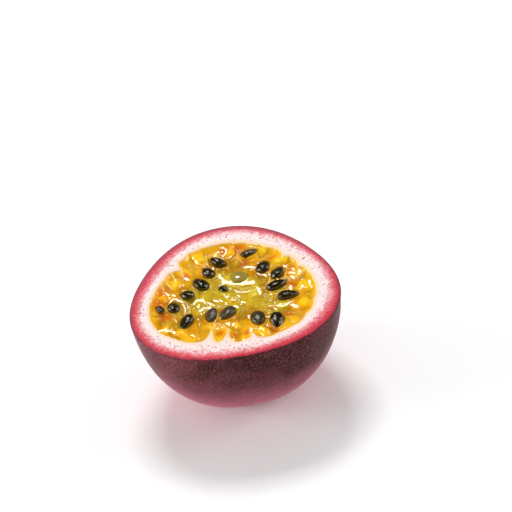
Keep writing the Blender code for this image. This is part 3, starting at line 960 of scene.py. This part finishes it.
def all_sacs(draw, sizes):
    """Every sac, as its place, heading, half length, half width and top, and how yellow it is."""
    sacs = [(sac, 0.0) for sac in seed_sacs(draw, sizes) + [PALE_SAC]]
    sacs += [(sac, draw.uniform(-0.4, 0.7)) for sac in random_sacs(draw)]
    for bearing, reach, heading, half_length, half_width, sunk, yellow in YELLOW_LUMPS:
        x, y = polar(bearing, reach)
        sac = (x, y, math.radians(heading), half_length * MM, half_width * MM, -sunk * MM)
        sacs.append((sac, yellow))
    return sacs


def raised_sacs(bent, sacs, pool, held, near_wall):
    """The height of the pool with its sacs standing out of it, and a mask of the yellow ones."""
    layers = [pool]
    yellow_mask = np.zeros(len(pool))
    for (x, y, heading, half_length, half_width, top), yellow in sacs:
        out = oval(bent, x, y, heading, half_length, half_width)
        dome = np.clip(1 - out**2, 0, None) ** 0.8
        layers.append(np.where(out < 1, pool + (top - pool) * dome * held, pool - 3 * MM))
        yellow_mask = np.maximum(yellow_mask, yellow * np.clip(1.25 - out**2, 0, 1) * near_wall**0.5)
    return highest(layers, CREASE) - 0.1 * MM, yellow_mask


def wrinkles(flat, bent, near_wall):
    """Fine wrinkles: next to the wall they run outwards, and elsewhere any way."""
    bearing, radius = round_axis(flat)
    rays = np.stack([bearing * 15 * MM, radius * 0.3, 0 * radius], 1)
    outward = (1 - np.abs(cloud(rays, 1.3 * MM, 6.1))) ** 5
    other = (1 - np.abs(cloud(bent, 2.6 * MM, 9.4))) ** 6
    return 0.13 * MM * outward * near_wall + 0.07 * MM * other


def ringed_seeds(height, flat, held, sizes):
    """The surface with a low ridge of gel round each seed, and a mask that fades away from the seeds: painted
    shade, and the seeds seen through the gel.
    """
    seed_halo_shade = np.zeros(len(flat))
    for bearing, reach, heading, _, _, size, _, _ in SEEDS:
        halves = (sizes.seed_length * size / 2, sizes.seed_width * size / 2)
        out = oval(flat, *polar(bearing, reach), math.radians(heading), *halves)
        height = height + RIDGE * np.exp(-(((out - 1.18) / 0.11) ** 2)) * held
        seed_halo_shade = np.maximum(seed_halo_shade, np.exp(-np.clip(out - 0.9, 0, None) / 0.35))
    return height, seed_halo_shade


def pulp_surface(points, sizes):
    """The pulp's height from the cut at each point, and the masks that its finish reads."""
    flat = points * (1, 1, 0)
    to_wall, tongue = wall_distance(flat)
    wobble = np.stack([cloud(flat, 2.6 * MM, 1.3), cloud(flat, 2.6 * MM, 7.9), 0 * to_wall], 1)
    bent = flat + GEL_BEND * wobble
    climb = sizes.meniscus - TONGUE_DROOP * tongue - 0.25 * MM * np.clip(tongue / (2 * MM), 0, 1)
    pool = lumps(flat, POOL_RELIEF, -sizes.pool_sink) + climb * np.exp(-to_wall / MENISCUS_REACH)
    held = np.clip(to_wall / MENISCUS_REACH, 0, 1) ** 0.5
    near_wall = np.exp(-to_wall / WALL_ZONE)
    height, yellow = raised_sacs(bent, all_sacs(random.Random(PULP_DRAW), sizes), pool, held, near_wall)
    lift, strand = strand_lift(bent)
    height = height + lift * held * np.clip(1 - (height + 0.4 * MM) / (1.2 * MM), 0.25, 1)
    height = height + held * wrinkles(flat, bent, near_wall)
    height, seed_halo_shade = ringed_seeds(height, flat, held, sizes)
    # Painted light and shade: raised forms are lightened and valleys darkened by their height over the evened
    # surface
    relief = (height - evened(height, EVENING_PASSES)) / FULL_RELIEF
    height = add_glints(height, flat, flat + GLINT_BEND * wobble)
    warmth = np.exp(-((to_wall / WARM_ZONE) ** 1.6)) * 0.85
    warmth = warmth + 0.26 * cloud(bent, 3.4 * MM, 3.1) + 0.08 * cloud(bent, 1.2 * MM, 5.5)
    unclear = 1 - 0.7 * patches(bent, CLEAR_PATCHES)
    outer_part = np.clip(1.4 - to_wall / (4 * MM), 0, 1)
    # Some of these masks paint light and shade: lighter crests, and darker hollows, valleys and juice round
    # the seeds
    masks = {
        "warmth": np.clip(warmth * unclear, 0, 1),
        "yellow": yellow * unclear,
        "pocket": patches(bent, POCKETS),
        "hollow_shade": np.clip((-HOLLOW_DEPTH - height) / (1.0 * MM), 0, 1),
        "crest": np.clip(relief - 0.1, 0, 1) * (0.4 + 0.6 * outer_part),
        "valley_shade": np.clip(-relief - 0.1, 0, 1) * outer_part,
        "strand": strand,
        "seed_halo_shade": seed_halo_shade,
        "contact": np.exp(-to_wall / (0.35 * MM)),
    }
    return height, masks


def pulp_finish(colours):
    """Wet pulp: a softly scattering gel under a clear coat of juice."""
    material, tree, shader, place = new_finish(
        "wet_pulp", Roughness=0.4, Specular_IOR_Level=0.1, Coat_Weight=1.0, Coat_Roughness=0.02, Coat_IOR=1.5,
        Subsurface_Weight=0.25, Subsurface_Scale=1.2 * MM, Subsurface_Radius=(1.0, 0.55, 0.12),
    )
    small = blotches(tree, place, 1.6 * MM, 0.3, 0.7, detail=3.0)
    warmth = shifted(tree, mask_of(tree, "warmth"), small, 0.2)
    shade = ramp(tree, warmth, [(at, getattr(colours, tone)) for at, tone in PULP_TONES])
    # The layers include painted light on raised forms and painted shade in the low places and round the seeds
    for mask, strength, tone in PULP_LAYERS:
        shade = laid_over(tree, shade, mask_of(tree, mask), strength, getattr(colours, tone))
    feed(tree, shader, shade, Normal=fine_relief(tree, place, 1.6 * MM, 0.02 * MM))
    return material


def disc_grid(cells):
    """A square grid bent to a disc of radius 1, and its faces, so that its cells are nearly even."""
    line = np.linspace(-1, 1, cells + 1)
    a, b = (side.ravel() for side in np.meshgrid(line, line, indexing="xy"))
    wide = np.abs(a) > np.abs(b)
    larger = np.where(wide, a, b)
    smaller = np.where(wide, b, a)
    turn = np.divide(smaller, larger, out=np.zeros_like(larger), where=larger != 0) * PI / 4
    angle = np.where(wide, turn, PI / 2 - turn)
    disc = np.stack([larger * np.cos(angle), larger * np.sin(angle)], 1)
    row = cells + 1
    start = (np.arange(cells)[:, None] * row + np.arange(cells)[None]).ravel()
    return disc, np.stack([start, start + 1, start + 1 + row, start + row], 1)


def grid_border(cells):
    """The grid's outer points in order, anticlockwise."""
    row = cells + 1
    bottom = list(range(0, cells))
    right = [i * row + cells for i in range(cells)]
    top = [cells * row + cells - i for i in range(cells)]
    left = [(cells - i) * row for i in range(cells)]
    return bottom + right + top + left


def closed_pulp(top, quads, flat, border):
    """Points and faces of the pulp, with rings below its top that follow the cavity down to a pole."""
    side = egg_profile(
        CAVITY_RADIUS + PULP_OVERLAP, CAVITY_DEPTH + PULP_OVERLAP, PULP_SIDE_DEPTH, CAVITY_DEPTH, PULP_RINGS
    )
    rings = []
    for radius, level in side[:-1]:
        share = radius / CAVITY_RADIUS
        ring = flat[border] * share * CAVITY_RADIUS / (CAVITY_RADIUS + PULP_INTO_WALL)
        rings.append(ring + np.array([*AXIS, level]))
    bottom = np.array([[*AXIS, HEIGHT - CAVITY_DEPTH - POLE_OVERLAP]])
    points = np.concatenate([top, *rings, bottom])
    faces = quads.tolist()
    upper = border
    for i in range(len(rings)):
        lower = len(top) + i * len(border) + np.arange(len(border))
        faces += np.stack([upper, lower, np.roll(lower, -1), np.roll(upper, -1)], 1).tolist()
        upper = lower
    pole = np.full_like(upper, len(points) - 1)
    faces += np.stack([upper, pole, np.roll(upper, -1)], 1).tolist()
    return points, faces


def make_pulp(sizes, colours):
    """The pulp's wet top and its unseen underside, with the masks that its finish and the beads read."""
    disc, quads = disc_grid(sizes.pulp_cells)
    bearing, share = round_axis(disc)
    flat = on_ring(bearing, (CAVITY_RADIUS + swing(bearing, CAVITY_WAVES) + PULP_INTO_WALL) * share)
    height, masks = pulp_surface(flat, sizes)
    height = np.minimum(height, np.where(masks["contact"] > 0.95, -EDGE_SINK, 1.0))
    top = flat + np.stack([np.full_like(height, AXIS[0]), np.full_like(height, AXIS[1]), HEIGHT + height], 1)
    points, faces = closed_pulp(top, quads, flat, np.array(grid_border(sizes.pulp_cells)))
    mesh = bpy.data.meshes.new("pulp_flesh")
    mesh.from_pydata(points.tolist(), [], faces)
    clear = np.clip(masks["hollow_shade"] + 0.2, 0, 1) * (masks["seed_halo_shade"] < 0.25)
    gathered = (
        dense * np.exp(-((np.hypot(flat[:, 0] - x * MM, flat[:, 1] - y * MM) / (wide * MM)) ** 2))
        for x, y, wide, dense in BEAD_PATCHES
    )
    masks["bead_room"] = clear * np.clip(sum(gathered, 0.05), 0, 1) * (masks["contact"] < 0.1)
    for name, values in masks.items():
        set_mask(mesh, name, np.concatenate([values, np.zeros(len(points) - len(top))]))
    mesh.materials.append(pulp_finish(colours))
    return finished("pulp_flesh", mesh, ["pulp"])


def grown(name, base, tree, values):
    """A plain mesh grown by a Geometry Nodes tree from a base mesh."""
    guide = linked(name + "_guide", base)
    modifier = guide.modifiers.new("Grow", "NODES")
    modifier.node_group = tree
    sockets = {item.name: item.identifier for item in tree.interface.items_tree if item.in_out == "INPUT"}
    for label, value in values.items():
        modifier[sockets[label]] = value
    return evaluated(guide, name)


def named_value(tree, name, kind="FLOAT"):
    return output_of(tree, "GeometryNodeInputNamedAttribute", {"Name": name}, "Attribute", data_type=kind)


def at_points(tree, points, shape, rotation, scale):
    """The shape at every point, as geometry of its own."""
    sockets = {"Points": points, "Instance": shape, "Rotation": rotation, "Scale": scale}
    placed = output_of(tree, "GeometryNodeInstanceOnPoints", sockets)
    return output_of(tree, "GeometryNodeRealizeInstances", {"Geometry": placed})


def painted(tree, given, geometry):
    """The tree, ended with its material on the geometry."""
    sockets = {"Geometry": geometry, "Material": given["Material"]}
    return ended(tree, output_of(tree, "GeometryNodeSetMaterial", sockets))


def seed_tree():
    """Seeds at points: a sphere drawn out into a flat egg, turned and sized by the points' values."""
    inputs = (
        ("Geometry", "Geometry", None), ("Length", "Float", 5 * MM), ("Width", "Float", 4 * MM),
        ("Thickness", "Float", 2.5 * MM), ("Point", "Float", 0.3), ("Pit Size", "Float", 0.4 * MM),
        ("Pit Depth", "Float", 0.05 * MM), ("Material", "Material", None),
    )
    tree, given = new_group("pitted_seeds", "GeometryNodeTree", inputs, "Geometry", "Geometry")
    ball = output_of(tree, "GeometryNodeMeshUVSphere", {"Segments": 64, "Rings": 44, "Radius": 1.0})
    own = add_node(tree, "ShaderNodeSeparateXYZ", {0: output_of(tree, "GeometryNodeInputPosition")}).outputs
    taper = maths(tree, "SUBTRACT", 1.0, times(tree, own["Z"], given["Point"]))
    along = times(tree, own["Z"], times(tree, given["Length"], 0.5))
    across = times(tree, times(tree, own["X"], taper), times(tree, given["Width"], 0.5))
    through = times(tree, times(tree, own["Y"], taper), times(tree, given["Thickness"], 0.5))
    egg = output_of(tree, "ShaderNodeCombineXYZ", {"X": along, "Y": across, "Z": through})
    shaped = output_of(tree, "GeometryNodeSetPosition", {"Geometry": ball, "Position": egg})
    turn = output_of(tree, "FunctionNodeEulerToRotation", {0: named_value(tree, "turn", "FLOAT_VECTOR")})
    real = at_points(tree, given["Geometry"], shaped, turn, named_value(tree, "size"))
    cells = output_of(
        tree, "ShaderNodeTexVoronoi",
        {"Scale": maths(tree, "DIVIDE", 1.0, given["Pit Size"]), "Randomness": 0.8}, feature="SMOOTH_F1",
    )
    sink = times(tree, maths(tree, "SUBTRACT", cells, 0.45), given["Pit Depth"])
    offset = scaled(tree, output_of(tree, "GeometryNodeInputNormal"), sink)
    pitted = output_of(tree, "GeometryNodeSetPosition", {"Geometry": real, "Offset": offset})
    return painted(tree, given, pitted)


def seed_finish(colours):
    """A black, glossy coat, duller and browner where a film of pulp lies over it."""
    material, tree, shader, place = new_finish("seed_coat", Specular_IOR_Level=1.0)
    film = mask_of(tree, "film")
    grain = spread(tree, blotches(tree, place, 0.35 * MM, 0.35, 0.65), 0.0, 1.0, 0.6, 1.3)
    worn = blotches(tree, place, 0.5 * MM, 0.45, 0.75)
    shade = laid_over(tree, colours.seed, worn, 0.35, colours.seed_film)
    shade = laid_over(tree, shade, film, grain, colours.seed_film)
    feed(
        tree, shader, shade, Roughness=spread(tree, film, 0.0, 1.0, 0.13, 0.5),
        Normal=fine_relief(tree, place, 0.5 * MM, 0.16 * MM, detail=1.0),
    )
    return material


def pale_seed_finish(colours):
    """An unripe seed that light goes into, under a clear coat of juice."""
    material, tree, shader, place = new_finish(
        "unripe_seed", Roughness=0.2, Coat_Weight=1.0, Coat_Roughness=0.02, Subsurface_Weight=0.5,
        Subsurface_Scale=1.5 * MM, Subsurface_Radius=(1.0, 0.8, 0.3),
    )
    mottle = blotches(tree, place, 1.4 * MM, 0.3, 0.7)
    feed(tree, shader, laid_over(tree, colours.pale_seed, mottle, 0.3, colours.olive))
    return material


def grown_seeds(name, rows, values):
    """A piece of seeds that lie as these rows say, with these sizes and finish."""
    places, turns, scales, films = [], [], [], []
    for bearing, reach, heading, lean, dip, size, sunk, film in rows:
        x, y = polar(bearing, reach)
        places.append((x + AXIS[0], y + AXIS[1], HEIGHT - sunk * MM))
        turns.append([math.radians(angle) for angle in (lean, dip, heading)])
        scales.append(size)
        films.append(film)
    points = bpy.data.meshes.new(name + "_points")
    points.from_pydata(places, [], [])
    points.attributes.new("turn", "FLOAT_VECTOR", "POINT").data.foreach_set("vector", np.ravel(turns))
    set_mask(points, "size", scales)
    set_mask(points, "film", films)
    return finished(name, grown(name, points, group_of("pitted_seeds", seed_tree), values))


def make_seeds(sizes, colours):
    """The black seeds."""
    values = {
        "Length": sizes.seed_length, "Width": sizes.seed_width, "Thickness": sizes.seed_thickness,
        "Point": SEED_POINT, "Pit Size": sizes.pit_size, "Pit Depth": sizes.pit_depth,
    }
    return grown_seeds("pulp_seeds", SEEDS, {**values, "Material": seed_finish(colours)})


def make_pale_seed(colours):
    """The unripe seed, under the juice."""
    return grown_seeds("pale_seed", [PALE_SEED], {**PALE_SEED_SIZES, "Material": pale_seed_finish(colours)})


def scatter_tree():
    """Small rounded grains scattered over a surface where a value on it leaves room for them."""
    inputs = (
        ("Geometry", "Geometry", None), ("Room", "String", "room"), ("Density", "Float", 1.0e6),
        ("Length", "Float", 0.5 * MM), ("Width", "Float", 0.2 * MM), ("Height", "Float", 0.2 * MM),
        ("Smallest", "Float", 0.5), ("Segments", "Int", 8), ("Rings", "Int", 5), ("Seed", "Int", 1),
        ("Material", "Material", None),
    )
    tree, given = new_group("scattered_grains", "GeometryNodeTree", inputs, "Geometry", "Geometry")
    density = times(tree, named_value(tree, given["Room"]), given["Density"])
    sockets = {"Mesh": given["Geometry"], "Density": density, "Seed": given["Seed"]}
    points = add_node(tree, "GeometryNodeDistributePointsOnFaces", sockets).outputs
    sockets = {"Segments": given["Segments"], "Rings": given["Rings"], "Radius": 0.5}
    ball = output_of(tree, "GeometryNodeMeshUVSphere", sockets)
    sockets = {"X": given["Length"], "Y": given["Width"], "Z": given["Height"]}
    size = output_of(tree, "ShaderNodeCombineXYZ", sockets)
    sockets = {"Min": (0, 0, 0), "Max": (0, 0, PI), "Seed": maths(tree, "ADD", given["Seed"], 7.0)}
    turn = output_of(tree, "FunctionNodeRandomValue", sockets, data_type="FLOAT_VECTOR")
    euler = output_of(tree, "FunctionNodeEulerToRotation", {0: turn})
    sockets = {"Rotation": points["Rotation"], "Rotate By": euler}
    facing = output_of(tree, "FunctionNodeRotateRotation", sockets, rotation_space="LOCAL")
    sockets = {2: given["Smallest"], "Seed": maths(tree, "ADD", given["Seed"], 3.0)}
    grade = output_of(tree, "FunctionNodeRandomValue", sockets, 1, data_type="FLOAT")
    real = at_points(tree, points["Points"], ball, facing, scaled(tree, size, grade))
    return painted(tree, given, real)


def scattered(name, source, slot, **values):
    """A piece of grains scattered on another piece's surface."""
    tree = group_of("scattered_grains", scatter_tree)
    inputs = {label.replace("_", " "): value for label, value in values.items()}
    return finished(name, grown(name, bpy.data.objects[source].data.copy(), tree, inputs))


def fleck_finish(colours):
    """Dry flecks, some of them redder."""
    material, tree, shader, place = new_finish("pith_fleck", Roughness=0.6)
    feed(tree, shader, blended(tree, blotches(tree, place, 1.5 * MM, 0.4, 0.6), colours.fleck, colours.rose))
    return material


def bead_finish(colours):
    """Clear, shining juice."""
    material, tree, shader, place = new_finish(
        "juice_bead", Roughness=0.08, Coat_Weight=1.0, Coat_Roughness=0.01, Subsurface_Weight=0.3,
        Subsurface_Scale=1.0 * MM, Subsurface_Radius=(1.0, 0.6, 0.2),
    )
    patch = blotches(tree, place, 3 * MM, 0.4, 0.6)
    feed(tree, shader, blended(tree, patch, colours.straw, colours.membrane))
    return material


def make_camera():
    """The camera of the photographed view."""
    focal = LENS / SENSOR * PICTURE
    distance = focal / PIXELS_PER_MM * MM
    ahead = Vector((0, math.cos(CAMERA_HEIGHT), -math.sin(CAMERA_HEIGHT)))
    level = Vector((1, 0, 0))
    upright = level.cross(ahead)
    right = level * math.cos(CAMERA_ROLL) + upright * math.sin(CAMERA_ROLL)
    up = upright * math.cos(CAMERA_ROLL) - level * math.sin(CAMERA_ROLL)
    aim = Vector((AXIS[0] + AIM_FROM_AXIS[0], AXIS[1] + AIM_FROM_AXIS[1], HEIGHT))
    ray = right * (AIM_PIXEL[0] - PICTURE / 2) / focal + up * (PICTURE / 2 - AIM_PIXEL[1]) / focal + ahead
    data = bpy.data.cameras.new("camera")
    data.lens = LENS
    data.sensor_width = SENSOR
    data.clip_start = 0.01
    camera = linked("camera", data)
    matrix = camera.matrix_world.copy()
    for row in range(3):
        matrix[row][0], matrix[row][1], matrix[row][2] = right[row], up[row], -ahead[row]
        matrix[row][3] = (aim - ray * distance)[row]
    camera.matrix_world = matrix
    bpy.context.scene.camera = camera


def soft_light(name, azimuth, elevation, distance, width, height, power, mirrored):
    """A rectangular soft light that faces the fruit from this direction, in degrees."""
    data = bpy.data.lights.new(name, "AREA")
    data.shape = "RECTANGLE"
    data.size, data.size_y = width, height
    data.energy = power
    light = linked(name, data)
    light.visible_glossy = mirrored
    target = Vector((0, 0, HEIGHT / 2))
    light.location = target + direction(azimuth, elevation) * distance
    light.rotation_euler = (target - light.location).to_track_quat("-Z", "Y").to_euler()


def make_stage(colours):
    """The pale floor, the studio's even light and its soft lights."""
    mesh = bpy.data.meshes.new("floor")
    grid = bmesh.new()
    bmesh.ops.create_grid(grid, x_segments=1, y_segments=1, size=2.0)
    grid.to_mesh(mesh)
    grid.free()
    material, tree, shader, place = new_finish("pale_floor", Roughness=0.7)
    feed(tree, shader, blended(tree, blotches(tree, place, 0.4, 0.3, 0.7), colours.floor, FLOOR_SHADE))
    mesh.materials.append(material)
    floor = linked("floor", mesh)
    scene = bpy.context.scene
    scene.world = bpy.data.worlds.new("studio")
    scene.world.use_nodes = True
    background = scene.world.node_tree.nodes["Background"]
    background.inputs["Color"].default_value = (1.0, 1.0, 1.0, 1.0)
    background.inputs["Strength"].default_value = EVEN_LIGHT
    scene.world.cycles_visibility.glossy = False
    for name, values in LIGHTS.items():
        soft_light(name, *values)
    scene.view_settings.view_transform = "Standard"


class FRUIT_OT_add_shell(bpy.types.Operator):
    """Add the skin and pith"""

    bl_idname = "fruit.add_shell"
    bl_label = "Add shell"

    def execute(self, context):
        make_shell(context.scene.fruit_sizes, context.scene.fruit_colours)
        return {"FINISHED"}


class FRUIT_OT_add_pulp(bpy.types.Operator):
    """Add the wet pulp"""

    bl_idname = "fruit.add_pulp"
    bl_label = "Add pulp"

    def execute(self, context):
        make_pulp(context.scene.fruit_sizes, context.scene.fruit_colours)
        return {"FINISHED"}


class FRUIT_OT_add_seeds(bpy.types.Operator):
    """Add the black seeds and the unripe one"""

    bl_idname = "fruit.add_seeds"
    bl_label = "Add seeds"

    def execute(self, context):
        make_seeds(context.scene.fruit_sizes, context.scene.fruit_colours)
        make_pale_seed(context.scene.fruit_colours)
        return {"FINISHED"}


class FRUIT_OT_add_flecks(bpy.types.Operator):
    """Add the dark flecks in the pith"""

    bl_idname = "fruit.add_flecks"
    bl_label = "Add pith flecks"

    def execute(self, context):
        size = context.scene.fruit_sizes.fleck_length
        scattered(
            "pith_flecks", "shell_peel", "rind", Room="fleck_room", Density=1.3e6, Length=size,
            Width=0.42 * size, Height=0.16 * MM, Smallest=0.5, Segments=6, Rings=4, Seed=4,
            Material=fleck_finish(context.scene.fruit_colours),
        )
        return {"FINISHED"}


class FRUIT_OT_add_beads(bpy.types.Operator):
    """Add the small beads of juice"""

    bl_idname = "fruit.add_beads"
    bl_label = "Add juice beads"

    def execute(self, context):
        size = context.scene.fruit_sizes.bead_size
        scattered(
            "juice_beads", "pulp_flesh", "pulp", Room="bead_room", Density=1.6e6, Length=size,
            Width=0.85 * size, Height=0.6 * size, Smallest=0.3, Segments=12, Rings=8, Seed=9,
            Material=bead_finish(context.scene.fruit_colours),
        )
        return {"FINISHED"}


class FRUIT_OT_add_stage(bpy.types.Operator):
    """Add the floor, the lights and the camera"""

    bl_idname = "fruit.add_stage"
    bl_label = "Add stage"

    def execute(self, context):
        make_stage(context.scene.fruit_colours)
        make_camera()
        return {"FINISHED"}


OPERATORS = (
    FRUIT_OT_add_shell, FRUIT_OT_add_pulp, FRUIT_OT_add_seeds, FRUIT_OT_add_flecks, FRUIT_OT_add_beads,
    FRUIT_OT_add_stage,
)


class FRUIT_PT_panel(bpy.types.Panel):
    """Lists the fruit's pieces and their sizes and colours"""

    bl_idname = "FRUIT_PT_panel"
    bl_label = "Passion fruit half"
    bl_space_type = "VIEW_3D"
    bl_region_type = "UI"
    bl_category = "Passion Fruit"

    def draw(self, context):
        for operator in OPERATORS:
            self.layout.operator(operator.bl_idname)
        for group in (context.scene.fruit_sizes, context.scene.fruit_colours):
            box = self.layout.box()
            for name in group.__annotations__:
                box.prop(group, name)


CLASSES = (FruitSizes, FruitColours, *OPERATORS, FRUIT_PT_panel)


def register():
    for cls in CLASSES:
        bpy.utils.register_class(cls)
    bpy.types.Scene.fruit_sizes = PointerProperty(type=FruitSizes)
    bpy.types.Scene.fruit_colours = PointerProperty(type=FruitColours)


def unregister():
    del bpy.types.Scene.fruit_colours
    del bpy.types.Scene.fruit_sizes
    for cls in reversed(CLASSES):
        bpy.utils.unregister_class(cls)


def main():
    register()
    bpy.ops.fruit.add_shell()
    bpy.ops.fruit.add_pulp()
    bpy.ops.fruit.add_seeds()
    bpy.ops.fruit.add_flecks()
    bpy.ops.fruit.add_beads()
    bpy.ops.fruit.add_stage()


if __name__ == "__main__":
    main()
